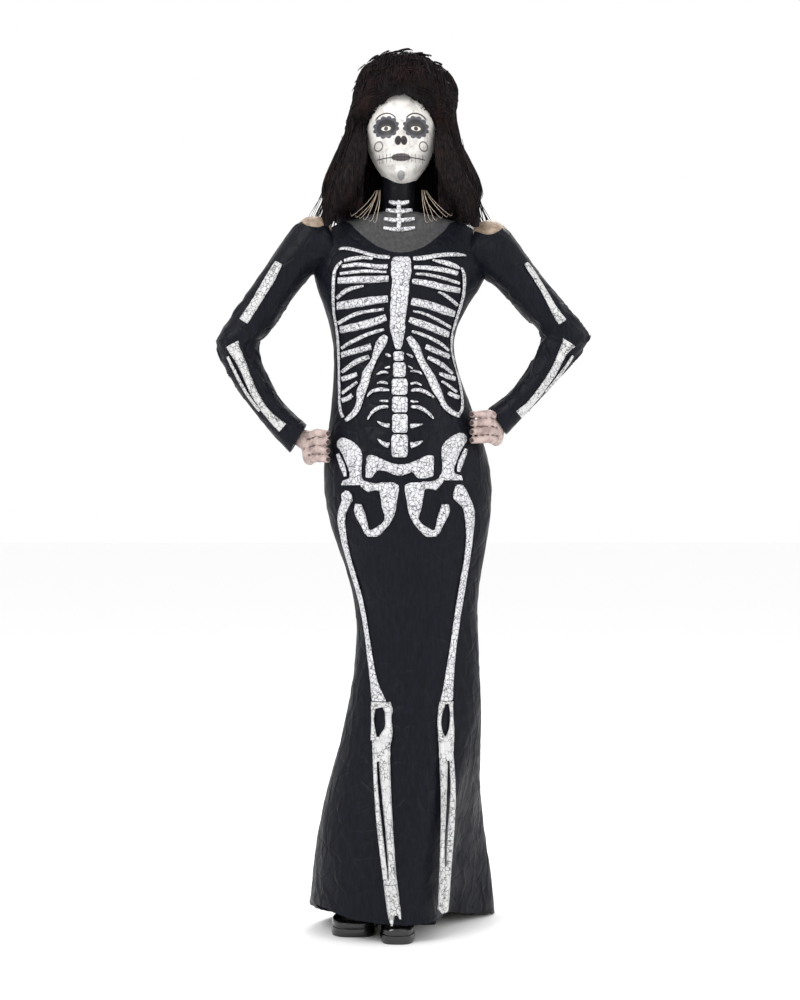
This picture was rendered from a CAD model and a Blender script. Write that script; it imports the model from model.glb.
import math
import random
import bpy
import bmesh
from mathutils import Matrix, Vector, noise
from mathutils.bvhtree import BVHTree


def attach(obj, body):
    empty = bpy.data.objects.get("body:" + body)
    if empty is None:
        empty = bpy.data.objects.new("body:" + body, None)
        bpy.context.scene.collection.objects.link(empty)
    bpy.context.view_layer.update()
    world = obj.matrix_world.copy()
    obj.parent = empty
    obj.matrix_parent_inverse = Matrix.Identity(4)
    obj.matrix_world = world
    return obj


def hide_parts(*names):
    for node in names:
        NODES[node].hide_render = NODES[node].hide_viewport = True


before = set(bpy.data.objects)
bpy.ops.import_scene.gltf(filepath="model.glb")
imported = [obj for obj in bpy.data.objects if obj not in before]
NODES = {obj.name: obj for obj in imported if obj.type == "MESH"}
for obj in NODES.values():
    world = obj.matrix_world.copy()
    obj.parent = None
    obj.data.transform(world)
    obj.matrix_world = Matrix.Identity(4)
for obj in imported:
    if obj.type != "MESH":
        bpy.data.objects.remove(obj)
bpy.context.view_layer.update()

MM = 0.001
SKULL = Vector((-1.0, -1.0, 400.0)) * MM    # middle of the head, at eye level
ELBOW_Z = 297              # mm, the bend of the sleeves
BONE_SHARP = 35            # degrees, the edges of the bones that are rounded
BONE_ROUND = 0.28          # mm
BONE_LIFT = 0.25           # mm that the bones come forward, clear of the wrinkled gown
LIPS = -14.0               # mm, the line of the lips above eye level
NAIL_SHARP = 60            # degrees
NAIL_ROUND = 0.2           # mm
RAY_START = 0.1            # m from the middle of the head, outside all the hair
FALL_FRONT = 0.024         # m, strands beside the face stay in front of this depth
FALL_INSIDE = 0.012        # m, strands down the back stay this far from the middle
random.seed(11)


# ---------- shader helpers ----------
def node(tree, kind, **values):
    """A shader node with its settings, and its input values or links by name or number in ins."""
    made = tree.nodes.new(kind)
    for key, value in values.items():
        if key == "ins":
            for name, what in value.items():
                if isinstance(what, bpy.types.NodeSocket):
                    tree.links.new(what, made.inputs[name])
                else:
                    made.inputs[name].default_value = what
        else:
            setattr(made, key, value)
    return made


def ramp(tree, value, low, high, smooth=True):
    """0 at low, 1 at high."""
    return node(tree, "ShaderNodeMapRange", interpolation_type="SMOOTHSTEP" if smooth else "LINEAR",
                ins={"Value": value, "From Min": low, "From Max": high}).outputs["Result"]


def mix(tree, factor, a, b):
    """Colour a where factor is 0 and colour b where it is 1."""
    return node(tree, "ShaderNodeMix", data_type="RGBA", ins={0: factor, 6: a, 7: b}).outputs[2]


def calc(tree, operation, a, b=0.0, c=0.0):
    return node(tree, "ShaderNodeMath", operation=operation, ins={0: a, 1: b, 2: c}).outputs[0]


def rgb(r, g, b):
    """A colour picked in display values, as the shader wants it."""
    return tuple((c / 255 / 12.92 if c < 10 else ((c / 255 + 0.055) / 1.055) ** 2.4)
                 for c in (r, g, b)) + (1.0,)


def effect(name, inputs, outputs):
    """An empty node group with named number inputs, an input node and an output node."""
    tree = bpy.data.node_groups.new(name, "ShaderNodeTree")
    for key, value in inputs.items():
        tree.interface.new_socket(key, in_out="INPUT", socket_type="NodeSocketFloat").default_value = value
    for key in outputs:
        tree.interface.new_socket(key, in_out="OUTPUT", socket_type="NodeSocketFloat")
    return tree, tree.nodes.new("NodeGroupInput"), tree.nodes.new("NodeGroupOutput")


# Torn paper laid in glue: soft lumps, pinched wrinkles and the overlapping edges of the strips
paper_layers, g_in, g_out = effect("paper_layers", {"Scale": 1.0, "Wrinkle": 1.0}, ["Height", "Crease"])
t = paper_layers
where = node(t, "ShaderNodeTexCoord").outputs["Object"]
lumps = node(t, "ShaderNodeTexNoise", ins={"Vector": where, "Scale": 110.0, "Detail": 3.0, "Roughness": 0.5})
bent = node(t, "ShaderNodeTexNoise", ins={"Vector": where, "Scale": 60.0, "Detail": 2.0})
pushed = node(t, "ShaderNodeVectorMath", operation="MULTIPLY_ADD",
              ins={0: bent.outputs["Color"], 1: (0.012, 0.012, 0.012), 2: where}).outputs[0]
strips = node(t, "ShaderNodeTexVoronoi", feature="DISTANCE_TO_EDGE", ins={"Vector": pushed, "Scale": 85.0})
pinch = node(t, "ShaderNodeTexNoise", noise_type="RIDGED_MULTIFRACTAL",
             ins={"Vector": pushed, "Scale": 170.0, "Detail": 3.0, "Roughness": 0.55})
fibre = node(t, "ShaderNodeTexNoise", ins={"Vector": where, "Scale": 1600.0, "Detail": 3.0, "Roughness": 0.6})
edge = ramp(t, strips.outputs["Distance"], 0.0, 0.09)
crease = ramp(t, pinch.outputs[0], 0.75, 1.5)
height = calc(t, "MULTIPLY_ADD", lumps.outputs[0], 0.9, calc(t, "MULTIPLY", edge, 0.35))
height = calc(t, "ADD", height,
              calc(t, "MULTIPLY", crease, calc(t, "MULTIPLY", g_in.outputs["Wrinkle"], 0.55)))
height = calc(t, "MULTIPLY_ADD", fibre.outputs[0], 0.1, height)
t.links.new(height, g_out.inputs["Height"])
t.links.new(crease, g_out.inputs["Crease"])

# Brushed paint: long upright streaks, and patches where the paint is thin
brushed, g_in, g_out = effect("brushed_paint", {"Streak": 1.0}, ["Streaks", "Thin"])
t = brushed
where = node(t, "ShaderNodeTexCoord").outputs["Object"]
pulled = node(t, "ShaderNodeMapping", ins={"Vector": where, "Scale": (1.0, 1.0, 0.16)}).outputs[0]
hairs = node(t, "ShaderNodeTexNoise", ins={"Vector": pulled, "Scale": 900.0, "Detail": 4.0, "Roughness": 0.65})
pools = node(t, "ShaderNodeTexNoise", ins={"Vector": where, "Scale": 75.0, "Detail": 5.0, "Roughness": 0.6})
streaks = calc(t, "MULTIPLY", ramp(t, hairs.outputs[0], 0.35, 0.7), g_in.outputs["Streak"])
t.links.new(streaks, g_out.inputs["Streaks"])
t.links.new(ramp(t, pools.outputs[0], 0.42, 0.68), g_out.inputs["Thin"])

# Fine cracks in dried paint, broken up so that they come and go
crackle, g_in, g_out = effect("crackle", {"Scale": 520.0, "Amount": 0.5}, ["Cracks"])
t = crackle
where = node(t, "ShaderNodeTexCoord").outputs["Object"]
shake = node(t, "ShaderNodeTexNoise", ins={"Vector": where, "Scale": 420.0, "Detail": 3.0})
moved = node(t, "ShaderNodeVectorMath", operation="MULTIPLY_ADD",
             ins={0: shake.outputs["Color"], 1: (0.003, 0.003, 0.003), 2: where}).outputs[0]
cells = node(t, "ShaderNodeTexVoronoi", feature="DISTANCE_TO_EDGE",
             ins={"Vector": moved, "Scale": g_in.outputs["Scale"]})
patch = node(t, "ShaderNodeTexNoise", ins={"Vector": where, "Scale": 210.0, "Detail": 4.0, "Roughness": 0.6})
line = calc(t, "SUBTRACT", 1.0, ramp(t, cells.outputs["Distance"], 0.015, 0.085))
gate = ramp(t, calc(t, "ADD", patch.outputs[0], calc(t, "MULTIPLY", g_in.outputs["Amount"], 0.4)), 0.55, 0.75)
t.links.new(calc(t, "MULTIPLY", line, gate), g_out.inputs["Cracks"])


def use(tree, group, **values):
    """A copy of an effect in a material, with its inputs set."""
    made = tree.nodes.new("ShaderNodeGroup")
    made.node_tree = group
    for key, value in values.items():
        made.inputs[key].default_value = value
    return made


def finish_material(name, colour, roughness, height, depth, coat=0.0, specular=0.5):
    """colour, roughness and height are functions of the material's tree and of a dict that they share."""
    mat = bpy.data.materials.new(name)
    mat.use_nodes = True
    tree = mat.node_tree
    shader = tree.nodes["Principled BSDF"]
    bits = {}
    for key, make in (("Base Color", colour), ("Roughness", roughness)):
        what = make(tree, bits)
        if isinstance(what, bpy.types.NodeSocket):
            tree.links.new(what, shader.inputs[key])
        else:
            shader.inputs[key].default_value = what
    bump = node(tree, "ShaderNodeBump",
                ins={"Strength": 1.0, "Distance": depth, "Height": height(tree, bits)})
    tree.links.new(bump.outputs["Normal"], shader.inputs["Normal"])
    shader.inputs["Coat Weight"].default_value = coat
    shader.inputs["Coat Roughness"].default_value = 0.25
    shader.inputs["Specular IOR Level"].default_value = specular
    return mat


def painted(name, dark, light, wrinkle, depth, rough=(0.38, 0.58), coat=0.0, rub=0.12, specular=0.28):
    """Papier-mache in a body colour, a little lighter along its creases and brush streaks."""
    def colour(tree, bits):
        bits["paper"] = use(tree, paper_layers, Wrinkle=wrinkle)
        bits["brush"] = use(tree, brushed, Streak=0.8)
        lit = calc(tree, "MULTIPLY_ADD", bits["paper"].outputs["Crease"], rub,
                   calc(tree, "MULTIPLY", bits["brush"].outputs["Streaks"], rub))
        return mix(tree, lit, rgb(*dark), rgb(*light))

    def roughness(tree, bits):
        return calc(tree, "MULTIPLY_ADD", bits["brush"].outputs["Thin"], rough[1] - rough[0], rough[0])

    def height(tree, bits):
        return calc(tree, "MULTIPLY_ADD", bits["brush"].outputs["Streaks"], 0.08,
                    bits["paper"].outputs["Height"])
    return finish_material(name, colour, roughness, height, depth, coat, specular)


def bone_paint(name, light, worn, amount, scale):
    """Thick pale paint, greyer in its streaks and thin patches, with fine dark cracks."""
    def colour(tree, bits):
        bits["crackle"] = use(tree, crackle, Scale=scale, Amount=amount)
        bits["brush"] = use(tree, brushed, Streak=1.0)
        base = mix(tree, calc(tree, "MULTIPLY", bits["brush"].outputs["Streaks"], 0.45),
                   rgb(*light), rgb(*worn))
        base = mix(tree, calc(tree, "MULTIPLY", bits["brush"].outputs["Thin"], 0.25), base, rgb(*worn))
        return mix(tree, calc(tree, "MULTIPLY", bits["crackle"].outputs["Cracks"], 0.9),
                   base, rgb(40, 40, 45))

    def roughness(tree, bits):
        return calc(tree, "MULTIPLY_ADD", bits["brush"].outputs["Thin"], 0.2, 0.36)

    def height(tree, bits):
        return calc(tree, "MULTIPLY_ADD", bits["crackle"].outputs["Cracks"], -0.6,
                    calc(tree, "MULTIPLY", bits["brush"].outputs["Streaks"], 0.5))
    return finish_material(name, colour, roughness, height, 0.00022, 0.12)


gown_black = painted("gown_black", (13, 14, 20), (54, 57, 76), 0.25, 0.0004, specular=0.1)
sleeve_black = painted("sleeve_black", (13, 14, 20), (54, 57, 76), 0.4, 0.00045, specular=0.1)
neck_black = painted("neck_black", (13, 13, 17), (50, 50, 58), 0.3, 0.0002, specular=0.1)
base_black = painted("base_black", (14, 14, 16), (60, 60, 66), 0.3, 0.0002, rough=(0.5, 0.7))
yoke_grey = painted("yoke_grey", (56, 56, 57), (108, 108, 111), 0.25, 0.00015, rough=(0.5, 0.7), rub=0.3)
shoe_black = painted("shoe_black", (10, 10, 12), (36, 36, 42), 0.4, 0.0002,
                     rough=(0.16, 0.34), coat=0.4, rub=0.1, specular=0.5)
bone_white = bone_paint("bone_white", (214, 214, 217), (172, 172, 177), 0.75, 500.0)
bone_grey = bone_paint("bone_grey", (204, 204, 203), (158, 158, 163), 0.5, 460.0)
newsprint = painted("newsprint", (150, 147, 136), (205, 202, 192), 2.0, 0.0012,
                    rough=(0.8, 0.95), rub=0.3)


def wood_grain():
    """Pale bare wood with an upright grain."""
    def colour(tree, bits):
        where = node(tree, "ShaderNodeTexCoord").outputs["Object"]
        along = node(tree, "ShaderNodeMapping", ins={"Vector": where, "Scale": (1.0, 1.0, 0.06)}).outputs[0]
        bits["grain"] = node(tree, "ShaderNodeTexNoise",
                             ins={"Vector": along, "Scale": 700.0, "Detail": 5.0}).outputs[0]
        return mix(tree, ramp(tree, bits["grain"], 0.35, 0.7), rgb(205, 170, 122), rgb(150, 112, 70))
    return finish_material("pale_wood", colour, lambda tree, bits: 0.62,
                           lambda tree, bits: bits["grain"], 0.0002)


def wire_steel():
    """Dull grey steel wire."""
    def colour(tree, bits):
        where = node(tree, "ShaderNodeTexCoord").outputs["Object"]
        bits["drawn"] = node(tree, "ShaderNodeTexNoise",
                             ins={"Vector": where, "Scale": 1500.0, "Detail": 3.0}).outputs[0]
        return mix(tree, bits["drawn"], rgb(120, 120, 124), rgb(176, 176, 180))
    mat = finish_material("annealed_wire", colour, lambda tree, bits: 0.4,
                          lambda tree, bits: bits["drawn"], 0.0001)
    mat.node_tree.nodes["Principled BSDF"].inputs["Metallic"].default_value = 1.0
    return mat


def skin_paint(name, light, shade, spots):
    """Flesh-tinted paint with a darker wash, darkest in the hollows that the nook attribute marks."""
    def colour(tree, bits):
        bits["paper"] = use(tree, paper_layers, Wrinkle=0.8)
        where = node(tree, "ShaderNodeTexCoord").outputs["Object"]
        wash = node(tree, "ShaderNodeTexNoise",
                    ins={"Vector": where, "Scale": 260.0, "Detail": 5.0, "Roughness": 0.65}).outputs[0]
        bits["wash"] = wash
        nook = ramp(tree, node(tree, "ShaderNodeAttribute", attribute_name="nook").outputs["Fac"], 0.0, 1.0)
        base = mix(tree, ramp(tree, wash, 0.38, 0.66), rgb(*light), rgb(*shade))
        return mix(tree, nook, base, rgb(*spots))
    return finish_material(name, colour,
                           lambda tree, bits: calc(tree, "MULTIPLY_ADD", bits["wash"], 0.3, 0.35),
                           lambda tree, bits: calc(tree, "ADD", bits["paper"].outputs["Height"], bits["wash"]),
                           0.00022, 0.1)


hand_skin = skin_paint("hand_skin", (186, 166, 160), (140, 120, 116), (52, 34, 34))
shoulder_skin = skin_paint("shoulder_skin", (172, 152, 132), (128, 108, 92), (70, 56, 48))
nail_red = painted("nail_red", (40, 14, 16), (92, 48, 50), 0.2, 0.0001,
                   rough=(0.12, 0.2), coat=0.6, specular=0.5)


def hair_fibres(name, dark, light, tan=0.0):
    """Dyed fibre with fine upright streaks. tan adds to the brown cast of its broad patches."""
    def colour(tree, bits):
        where = node(tree, "ShaderNodeTexCoord").outputs["Object"]
        fine = node(tree, "ShaderNodeMapping", ins={"Vector": where, "Scale": (1.0, 1.0, 0.12)}).outputs[0]
        bits["fine"] = node(tree, "ShaderNodeTexNoise",
                            ins={"Vector": fine, "Scale": 1500.0, "Detail": 4.0, "Roughness": 0.7}).outputs[0]
        broad = node(tree, "ShaderNodeTexNoise", ins={"Vector": where, "Scale": 70.0, "Detail": 3.0}).outputs[0]
        base = mix(tree, ramp(tree, bits["fine"], 0.4, 0.68), rgb(*dark), rgb(*light))
        return mix(tree, calc(tree, "MULTIPLY", ramp(tree, broad, 0.5, 0.7), 0.5 + tan),
                   base, rgb(50, 33, 31))
    return finish_material(name, colour,
                           lambda tree, bits: calc(tree, "MULTIPLY_ADD", bits["fine"], 0.3, 0.38),
                           lambda tree, bits: bits["fine"], 0.0005, specular=0.08)


hair_dark = hair_fibres("hair_dark", (11, 9, 10), (46, 36, 37))
hair_black = hair_fibres("hair_black", (8, 7, 8), (28, 23, 25), -0.3)
hair_tan = hair_fibres("hair_tan", (176, 156, 134), (232, 222, 208), -0.5)


def face_paint():
    """Calavera paint on the front of the head: a pale ground, dark sockets ringed with small
    petals, arched brows, a dark nose tip, cheek rings and a stitched line through the lips."""
    def colour(tree, bits):
        where = node(tree, "ShaderNodeTexCoord").outputs["Object"]
        split = node(tree, "ShaderNodeSeparateXYZ", ins={0: where})
        side = calc(tree, "ABSOLUTE", calc(tree, "SUBTRACT", split.outputs[0], SKULL.x))
        up = calc(tree, "SUBTRACT", split.outputs[2], SKULL.z)
        front = ramp(tree, split.outputs[1], -0.006, -0.010)

        def spot(x, z, wide, tall, soft=0.12):
            """An oval at x to either side and z above the eyes, in mm: 1 inside it, and the place
            across, up and outwards from its middle as shares of its size."""
            u = calc(tree, "DIVIDE", calc(tree, "SUBTRACT", side, x * MM), wide * MM)
            v = calc(tree, "DIVIDE", calc(tree, "SUBTRACT", up, z * MM), tall * MM)
            far = calc(tree, "SQRT", calc(tree, "MULTIPLY_ADD", u, u, calc(tree, "MULTIPLY", v, v)))
            return ramp(tree, far, 1.0, 1.0 - soft), u, v, far

        def near(value, low, high):
            """A ramp of the distance from 0."""
            return ramp(tree, calc(tree, "ABSOLUTE", value), low, high)

        def lay(base, mask, colour, strength=None):
            """A colour painted over the front of the face where the mask is 1."""
            shown = front if strength is None else calc(tree, "MULTIPLY", front, strength)
            return mix(tree, calc(tree, "MULTIPLY", mask, shown), base, rgb(*colour))

        bits["crackle"] = use(tree, crackle, Scale=430.0, Amount=0.15)
        wash = node(tree, "ShaderNodeTexNoise", ins={"Vector": where, "Scale": 170.0, "Detail": 5.0}).outputs[0]
        bits["wash"] = wash
        base = mix(tree, ramp(tree, wash, 0.4, 0.7), rgb(226, 223, 218), rgb(190, 186, 182))
        eye, u, v, far = spot(7.4, 0.6, 5.0, 4.3)
        turn = calc(tree, "MULTIPLY", calc(tree, "ARCTAN2", v, u), 6.0)
        petals = calc(tree, "ABSOLUTE", calc(tree, "SINE", turn))
        ring = ramp(tree, calc(tree, "SUBTRACT", far, calc(tree, "MULTIPLY", petals, 0.2)), 1.18, 1.1)
        base = lay(base, ring, (66, 66, 76))
        base = lay(base, eye, (24, 20, 24))
        base = lay(base, spot(7.4, 0.1, 2.5, 1.25)[0], (214, 208, 200))    # eyeball
        base = lay(base, spot(7.4, 0.1, 1.1, 1.15)[0], (34, 22, 18))       # iris
        _, _, brow_up, brow_far = spot(7.6, 2.4, 5.6, 5.2)
        arch = calc(tree, "MULTIPLY", near(calc(tree, "SUBTRACT", brow_far, 1.0), 0.1, 0.04),
                    ramp(tree, brow_up, 0.35, 0.6))
        base = lay(base, arch, (30, 24, 26))
        base = lay(base, spot(1.5, -6.4, 1.7, 2.2)[0], (30, 24, 28))       # tip of the nose
        base = lay(base, spot(0.0, LIPS, 5.2, 1.9)[0], (74, 66, 70))
        over_lips = calc(tree, "ADD", up, -LIPS * MM)
        seam = calc(tree, "MULTIPLY", near(over_lips, 0.00035, 0.0001), ramp(tree, side, 0.0125, 0.0115))
        bars = near(calc(tree, "SINE", calc(tree, "MULTIPLY", side, 1750.0)), 0.22, 0.1)
        stitch = calc(tree, "MULTIPLY", bars, calc(tree, "MULTIPLY", near(over_lips, 0.0021, 0.0018),
                                                   ramp(tree, side, 0.0118, 0.0112)))
        base = lay(base, calc(tree, "MAXIMUM", seam, stitch), (26, 20, 22))
        cheek_far = spot(11.2, -8.2, 2.6, 2.6)[3]
        curl = calc(tree, "MULTIPLY", near(calc(tree, "SUBTRACT", cheek_far, 0.8), 0.16, 0.08), 0.8)
        base = lay(base, curl, (60, 40, 48))
        base = lay(base, spot(0.0, -22.0, 2.0, 2.4)[0], (96, 96, 104), 0.7)    # chin
        return mix(tree, calc(tree, "MULTIPLY", bits["crackle"].outputs["Cracks"], 0.5),
                   base, rgb(80, 70, 66))

    def height(tree, bits):
        return calc(tree, "MULTIPLY_ADD", bits["crackle"].outputs["Cracks"], -0.5, bits["wash"])
    return finish_material("face_paint", colour,
                           lambda tree, bits: calc(tree, "MULTIPLY_ADD", bits["wash"], 0.2, 0.34),
                           height, 0.0002, 0.15)


calavera = face_paint()


# ---------- mesh helpers ----------
def link(mesh, name, material, nodes=()):
    """A finished piece on the body, in place of the CAD nodes that it replaces."""
    piece = bpy.data.objects.new(name, mesh)
    bpy.context.scene.collection.objects.link(piece)
    mesh.materials.clear()
    mesh.materials.append(material)
    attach(piece, "root")
    if nodes:
        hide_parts(*nodes)
    return piece


def open_copy(name, angle=50.0, crease=1.0):
    """A joined-up copy of a CAD node, its sharp edges creased so that smoothing keeps them."""
    bm = bmesh.new()
    bm.from_mesh(NODES[name].data)
    bmesh.ops.remove_doubles(bm, verts=bm.verts, dist=2e-6)
    bmesh.ops.join_triangles(bm, faces=bm.faces, angle_face_threshold=math.radians(25),
                             angle_shape_threshold=math.radians(60))
    layer = bm.edges.layers.float.new("crease_edge")
    for e in bm.edges:
        if len(e.link_faces) == 2 and e.calc_face_angle(0) > math.radians(angle):
            e[layer] = crease
            e.smooth = False
    for f in bm.faces:
        f.smooth = True
        f.material_index = 0
    return bm


def to_mesh(bm, name):
    mesh = bpy.data.meshes.new(name)
    bm.to_mesh(mesh)
    bm.free()
    return mesh


def work_object(data):
    """A temporary object that carries modifiers or a curve."""
    holder = bpy.data.objects.new("work", data)
    bpy.context.scene.collection.objects.link(holder)
    return holder


def applied(holder):
    """The mesh of a temporary object as its modifiers leave it. The object is removed."""
    seen = holder.evaluated_get(bpy.context.evaluated_depsgraph_get())
    done = bpy.data.meshes.new_from_object(seen)
    bpy.data.objects.remove(holder)
    return done


def from_mesh(mesh):
    bm = bmesh.new()
    bm.from_mesh(mesh)
    return bm


def smoothed(bm, levels):
    """The bmesh with a subdivision surface applied."""
    holder = work_object(to_mesh(bm, "work"))
    sub = holder.modifiers.new("smooth", "SUBSURF")
    sub.levels = sub.render_levels = levels
    sub.boundary_smooth = "PRESERVE_CORNERS"
    return from_mesh(applied(holder))


def round_edges(bm, angle, width, segments):
    """Bevels the edges sharper than an angle in degrees, by a width in mm."""
    sharp = [e for e in bm.edges if len(e.link_faces) == 2 and e.calc_face_angle(0) > math.radians(angle)]
    bmesh.ops.bevel(bm, geom=sharp, offset=width * MM, segments=segments, profile=0.5,
                    affect="EDGES", material=-1, clamp_overlap=True)


def wrinkle(bm, lump, fold, keep=None):
    """Pushes the skin outwards in broad lumps and narrow folds, in mm. keep scales it by place."""
    bm.normal_update()
    for v in bm.verts:
        p = v.co * 1000
        a = noise.noise(p * 0.06) * 0.6 + noise.noise(p * 0.17) * 0.4
        b = max(0.0, 1 - abs(noise.noise(Vector((p.x * 0.16, p.y * 0.16, p.z * 0.09 + 7)))) * 5)
        grow = (a * 0.5 + 0.5) * lump + b * fold
        v.co += v.normal * grow * MM * (keep(p) if keep else 1.0)


# ---------- the camera, light and floor ----------
scene = bpy.context.scene
cam = bpy.data.cameras.new("camera")
cam.lens, cam.sensor_width = 71.2, 36.0
camera = bpy.data.objects.new("camera", cam)
camera.location = (-0.0015, -1.0, 0.216)
camera.rotation_euler = (math.radians(90), 0, 0)
scene.collection.objects.link(camera)
scene.camera = camera
scene.view_settings.view_transform = "Standard"    # plain white stays plain white
world = bpy.data.worlds.new("studio")
scene.world = world
world.use_nodes = True
world.node_tree.nodes["Background"].inputs["Color"].default_value = (1.0, 1.0, 1.0, 1.0)
world.node_tree.nodes["Background"].inputs["Strength"].default_value = 1.0


def lamp(name, place, size, power, aim=(0.0, 0.0, 0.22)):
    """A square lamp that points at the middle of the figure."""
    light = bpy.data.lights.new(name, "AREA")
    light.size, light.energy = size, power
    obj = bpy.data.objects.new(name, light)
    obj.location = place
    obj.rotation_euler = (Vector(aim) - Vector(place)).to_track_quat("-Z", "Y").to_euler()
    scene.collection.objects.link(obj)


lamp("key", (-0.7, -0.9, 1.1), 0.6, 9.0)
lamp("fill", (0.9, -0.8, 0.6), 0.8, 4.0)
lamp("rim", (0.2, 0.8, 1.0), 0.6, 5.0)
bm = bmesh.new()
bmesh.ops.create_grid(bm, x_segments=1, y_segments=1, size=9.0)
floor = bpy.data.objects.new("floor", to_mesh(bm, "floor"))
scene.collection.objects.link(floor)
floor_white = bpy.data.materials.new("floor_white")
floor_white.use_nodes = True
floor_white.node_tree.nodes["Principled BSDF"].inputs["Base Color"].default_value = (0.97, 0.97, 0.97, 1.0)
floor_white.node_tree.nodes["Principled BSDF"].inputs["Roughness"].default_value = 0.9
floor.data.materials.append(floor_white)


# ---------- gown and sleeves ----------
def off_rims(p):
    """No wrinkles in the lowest 1.5 mm, and full ones from 7.5 mm up."""
    return max(0.0, min(1.0, (p.z - 1.5) / 6))


for name, lump, fold, rounds in (("skirt", 0.35, 0.3, 3), ("bodice", 0.3, 0.2, 2)):
    bm = smoothed(open_copy(name), rounds)
    wrinkle(bm, lump, fold, off_rims)
    link(to_mesh(bm, name), "gown_" + name, gown_black, [name])
bm = smoothed(open_copy("yoke"), 2)
wrinkle(bm, 0.15, 0.1)
link(to_mesh(bm, "yoke"), "sheer_yoke", yoke_grey, ["yoke"])


def sleeve_folds(p):
    """Heavier folds towards the bend of the elbow."""
    return 0.5 + 1.6 * math.exp(-((p.z - ELBOW_Z) / 22) ** 2)


for side in "rl":
    for part in ("upper", "lower"):
        name = f"{part}_sleeve_{side}"
        bm = smoothed(open_copy(name), 2 if part == "upper" else 3)
        wrinkle(bm, 0.35, 0.5, sleeve_folds)
        link(to_mesh(bm, name), name.replace("sleeve", "arm"), sleeve_black, [name])

# ---------- bones ----------
GREY = {"shin_r", "shin_l", "humerus_r", "humerus_l", "forearm_bones_r", "forearm_bones_l"}
BONES = ["cervical_bones", "clavicle_r", "clavicle_l", "sternum", "ribs_r", "ribs_l", "costal_arch_r",
         "costal_arch_l", "vertebrae", "spurs_r", "spurs_l", "sacrum", "hip_bone_r", "hip_bone_l",
         "femur_r", "femur_l", *sorted(GREY)]
for name in BONES:
    bm = open_copy(name, BONE_SHARP, 0.0)
    for e in bm.edges:
        e.smooth = True
    round_edges(bm, BONE_SHARP, BONE_ROUND, 1)
    bm = smoothed(bm, 2)
    bm.normal_update()
    for v in bm.verts:
        p = v.co * 1000
        v.co += v.normal * (noise.noise(p * 0.5) * 0.16 + noise.noise(p * 1.3) * 0.07) * MM
        v.co.y -= BONE_LIFT * MM
    grey = name in GREY
    link(to_mesh(bm, name), "moulded_" + name, bone_grey if grey else bone_white,
         [name])

# ---------- head, hands and shoes ----------
bm = smoothed(open_copy("head", 60.0), 2)
link(to_mesh(bm, "head"), "painted_head", calavera, ["head"])


def modelled(name, piece, material, voxel, rounds):
    """A copy of a node melted into one soft form. Its hollows are marked for the paint."""
    holder = work_object(to_mesh(open_copy(name), name))
    melt = holder.modifiers.new("melt", "REMESH")
    melt.mode, melt.voxel_size = "VOXEL", voxel * MM
    bm = from_mesh(applied(holder))
    for _ in range(rounds):
        bmesh.ops.smooth_vert(bm, verts=bm.verts, factor=0.5, use_axis_x=True, use_axis_y=True, use_axis_z=True)
    bm.normal_update()
    layer = bm.verts.layers.float.new("nook")
    for v in bm.verts:
        hollow = sum((e.other_vert(v).co - v.co).dot(v.normal) for e in v.link_edges)
        hollow /= max(1, len(v.link_edges))
        v[layer] = max(0.0, min(1.0, hollow / (voxel * MM) * 9 - 0.1))
        v.co += v.normal * noise.noise(v.co * 900) * 0.12 * MM
    for f in bm.faces:
        f.smooth = True
    return link(to_mesh(bm, name), piece, material, [name])


for side in "rl":
    modelled("hand_" + side, "modelled_hand_" + side, hand_skin, 0.45, 3)
    modelled("shoulder_" + side, "bare_shoulder_" + side, shoulder_skin, 0.7, 3)
    bm = open_copy("nails_" + side)
    round_edges(bm, NAIL_SHARP, NAIL_ROUND, 2)
    link(to_mesh(bm, "nails"), "painted_nails_" + side, nail_red, ["nails_" + side])
    for part in ("sole", "upper"):
        name = f"shoe_{part}_{side}"
        bm = smoothed(open_copy(name, 40.0, 0.7), 2)
        link(to_mesh(bm, name), f"platform_{part}_{side}", shoe_black, [name])

# ---------- hair ----------
CROWN = ["hair_crown", "hair_knot", "hair_fall", "hair_lock_r", "hair_lock_l"]
hair_skins = []
for name in CROWN:
    bm = smoothed(open_copy(name, 70.0, 0.6), 3)
    bm.normal_update()
    for v in bm.verts:
        p = v.co * 1000
        turn = math.atan2(p.y + 1, p.x + 1)
        broad = noise.noise(Vector((turn * 9, p.z * 0.035, 0)))
        fine = noise.noise(Vector((turn * 30, p.z * 0.06, 3)))
        v.co += v.normal * (broad * 0.9 + fine * 0.5) * MM
    hair_skins.append(BVHTree.FromBMesh(bm))
    link(to_mesh(bm, name), "combed_" + name, hair_black, [name])


def nearest_hair(origin, towards):
    """The first hair skin that a ray meets, or nothing."""
    best = None
    for tree in hair_skins:
        hit = tree.ray_cast(origin, towards)
        if hit[0] is not None and (best is None or hit[3] < best[1]):
            best = (hit[0], hit[3])
    return best[0] if best else None


def from_head(bend, rise, tall=1.2):
    """The way outwards from the middle of the head, at a turn and a rise in radians."""
    level = math.cos(rise)
    return Vector((level * math.cos(bend), -level * math.sin(bend), math.sin(rise) * tall)).normalized()


def strands(name, paths, thick, material):
    """Many thin tapering strands as one mesh piece."""
    curve = bpy.data.curves.new(name, "CURVE")
    curve.dimensions = "3D"
    curve.bevel_depth, curve.bevel_resolution, curve.resolution_u = thick * MM, 0, 3
    for path in paths:
        if len(path) < 3:
            continue
        spline = curve.splines.new("BEZIER")
        spline.bezier_points.add(len(path) - 1)
        for i, (point, place) in enumerate(zip(spline.bezier_points, path)):
            point.co = place
            point.handle_left_type = point.handle_right_type = "AUTO"
            point.radius = max(0.25, math.sin(math.pi * (0.12 + 0.83 * i / (len(path) - 1))))
    mesh = applied(work_object(curve))
    mesh.name = name
    for poly in mesh.polygons:
        poly.use_smooth = True
    return link(mesh, name, material)


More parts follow.
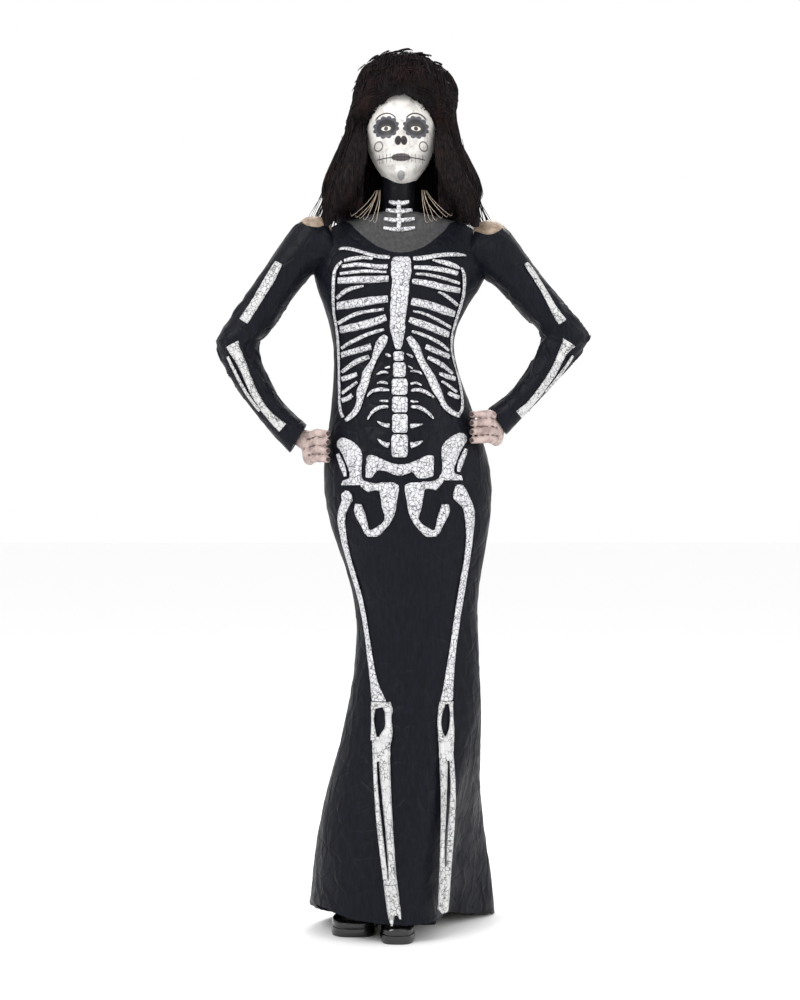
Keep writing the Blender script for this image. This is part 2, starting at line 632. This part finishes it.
def over_crown(turn):
    """A strand from the hairline up and back over the crown, at a turn round the head in degrees."""
    path, drift, lift = [], random.uniform(-26, 26), random.uniform(0.2, 1.1)
    start = random.uniform(34, 46) if 40 < turn < 140 else random.uniform(4, 24)
    top = random.uniform(58, 84)
    for i in range(7):
        f = i / 6
        rise, bend = math.radians(start + (top - start) * f), math.radians(turn + drift * f)
        way = from_head(bend, rise, 1.25)
        hit = nearest_hair(SKULL + way * RAY_START, -way)
        if hit:
            path.append(hit + way * lift * MM * (0.1 if i == 0 else 0.4 + random.random() * 0.5))
    return path


def beside_face(side):
    """A strand down the front of the hair on one side, from the temple to the shoulder."""
    path, a = [], random.uniform(15, 27)
    b = a + random.uniform(1, 20)
    top, low, wave = random.uniform(402, 421), random.uniform(350, 362), random.uniform(-1, 1)
    for i in range(10):
        f = i / 9
        x = SKULL.x * 1000 + side * (a + (b - a) * f ** 1.3 + wave * math.sin(6 * f))
        start = Vector((x * MM, -RAY_START, (top + (low - top) * f) * MM))
        hit = nearest_hair(start, Vector((0, 1, 0)))
        if hit and hit.y < FALL_FRONT:
            path.append(hit + Vector((0, -random.uniform(0.1, 0.8) * MM, 0)))
    return path


def down_fall(turn, top, bottom):
    """A strand down the outside of the hanging hair."""
    path, drift, lift = [], random.uniform(-9, 9), random.uniform(0.1, 1.2)
    for i in range(8):
        f = i / 7
        bend = math.radians(turn + drift * f * f)
        way = Vector((math.cos(bend), -math.sin(bend), 0))
        at = Vector((SKULL.x, SKULL.y, (top + (bottom - top) * f) * MM))
        hit = nearest_hair(at + way * RAY_START, -way)
        if hit and (hit - at).dot(way) > FALL_INSIDE:
            path.append(hit + way * lift * MM)
    return path


def combed_back(turn):
    """A strand from the parting beside the face, drawn back and down behind the ear."""
    side, path = (1 if turn < 90 else -1), []
    start, low = random.uniform(8, 40), random.uniform(-6, 12)
    for i in range(8):
        f = i / 7
        rise = math.radians(start + (low - start) * f)
        bend = math.radians(turn + (side * -95) * f)
        way = from_head(bend, rise)
        hit = nearest_hair(SKULL + way * RAY_START, -way)
        if hit:
            path.append(hit + way * random.uniform(0.2, 0.9) * MM)
    return path


def curl(base, size, turns, lean):
    """A loose ringlet standing off the crown."""
    path, out = [], (base - SKULL).normalized()
    across = out.cross(Vector((0.2, 1, lean))).normalized()
    up = across.cross(out)
    for i in range(int(9 * turns) + 1):
        f = i / (9 * turns)
        a = f * turns * math.tau
        path.append(base + out * size * (0.35 + 0.5 * math.sin(math.pi * f)) * MM * 0.8
                    + (across * math.cos(a) + up * math.sin(a)) * size * MM * (1 - 0.5 * f) + up * f * size * 0.6 * MM)
    return path


def loose_curls(count):
    """Small teased curls over the top and the upper sides of the crown."""
    paths = []
    for _ in range(count):
        bend, rise = random.uniform(0, math.tau), math.radians(random.uniform(40, 88))
        way = from_head(bend, rise)
        hit = nearest_hair(SKULL + way * RAY_START, -way)
        if hit:
            paths.append(curl(hit, random.uniform(1.2, 3.2), random.uniform(0.5, 1.2), random.uniform(-1, 1)))
    return paths


def hanging(side):
    """A loose strand beside the face that falls behind the shoulder, wavering as it goes."""
    path, out, back = [], random.uniform(0, 1), random.uniform(0, 1)
    end, wave, lag = random.uniform(344, 360), random.uniform(0.5, 2.2), random.uniform(0, 6)
    for i in range(10):
        f = i / 9
        x = 23 + 6 * out + (13 + 7 * out) * f ** 1.3 + wave * math.sin(5 * f + lag)
        y = -13 + 17 * back + 18 * f ** 1.6 + (4 if f > 0.7 else 0) * (1 - back)
        path.append(Vector((SKULL.x + side * x * MM, y * MM, (398 - (398 - end) * f) * MM)))
    return path


strands("crown_strands", [over_crown(random.uniform(0, 360)) for _ in range(520)]
        + [combed_back(random.choice((random.uniform(15, 80), random.uniform(100, 165))))
           for _ in range(320)],
        0.26, hair_dark)
strands("crown_curls", loose_curls(300), 0.36, hair_dark)
strands("side_strands", [beside_face(1 if k % 2 else -1) for k in range(760)],
        0.32, hair_dark)
strands("fall_strands", [down_fall(random.uniform(-28, 28) + 180 * (k % 2), 412, random.uniform(352, 366))
                         for k in range(260)]
        + [down_fall(random.uniform(190, 350), 414, random.uniform(316, 345)) for _ in range(360)],
        0.3, hair_dark)
strands("shoulder_wisps", [hanging(1 if k % 2 else -1) for k in range(130)],
        0.3, hair_dark)


def wisp(side, spread):
    """A pale thin strand fanning down one side of the neck on to the collar bone, with a small curl."""
    path, lean = [], random.uniform(-0.6, 0.6)
    for i in range(7):
        f = i / 6
        x = 10.5 + spread * 0.35 + (2.4 + spread * 1.25) * f ** 1.6 + lean * math.sin(4 * f)
        y = -11.2 - 2.6 * f + 0.2 * spread + lean
        z = 371 - (16 - spread * 0.5) * f
        path.append(Vector((SKULL.x + side * MM * (x + lean * f), MM * y, MM * z)))
    end = path[-1]
    return path + [end + Vector((side * 1.0, -0.2, -0.5)) * MM, end + Vector((side * 1.3, -0.4, 0.7)) * MM]


strands("neck_wisps", [wisp(side, k * 1.35 + random.uniform(-0.5, 0.5)) for side in (-1, 1) for k in range(6)],
        0.14, hair_tan)

# ---------- carried-over parts ----------
pale_wood, annealed_wire = wood_grain(), wire_steel()
for material, names in ((neck_black, ("neck",)), (base_black, ("base_board",)),
                        (pale_wood, ("spine_dowel", "hip_block")),
                        (newsprint, ("skirt_core", "torso_core")),
                        (annealed_wire, ("leg_wire_r", "leg_wire_l", "shoulder_bar", "arm_wire_r", "arm_wire_l"))):
    for name in names:
        for place in NODES[name].material_slots:
            place.material = material
